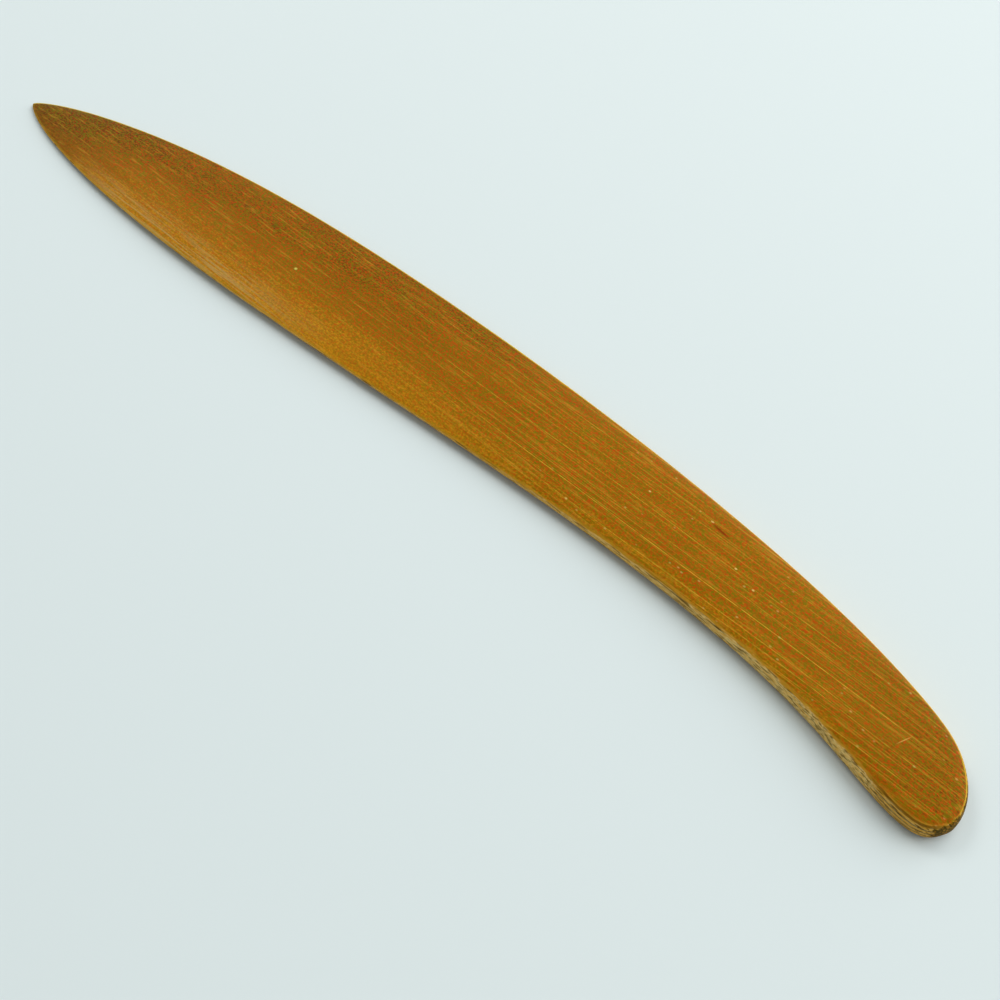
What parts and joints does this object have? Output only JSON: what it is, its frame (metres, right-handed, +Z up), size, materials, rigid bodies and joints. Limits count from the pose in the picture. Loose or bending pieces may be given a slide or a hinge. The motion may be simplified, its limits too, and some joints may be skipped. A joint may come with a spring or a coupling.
{
  "type": "paper knife",
  "caption": "Long paper knife carved from one strip of bamboo, with a leaf-shaped thin-edged blade that bends into a rounded handle, for slitting, folding and creasing paper.",
  "frame": {"origin": "middle of the footprint, on the surface that the knife lies on", "axes": "+X along the fibres from the tip to the butt, +Y to the side that the back of the knife bulges towards, +Z up, out of the crowned face"},
  "size_m": [0.2504, 0.0308, 0.0048],
  "materials": {
    "bamboo": "satin"
  },
  "bodies": {
    "root": {"bamboo_body": "bamboo"}
  },
  "joints": []
}
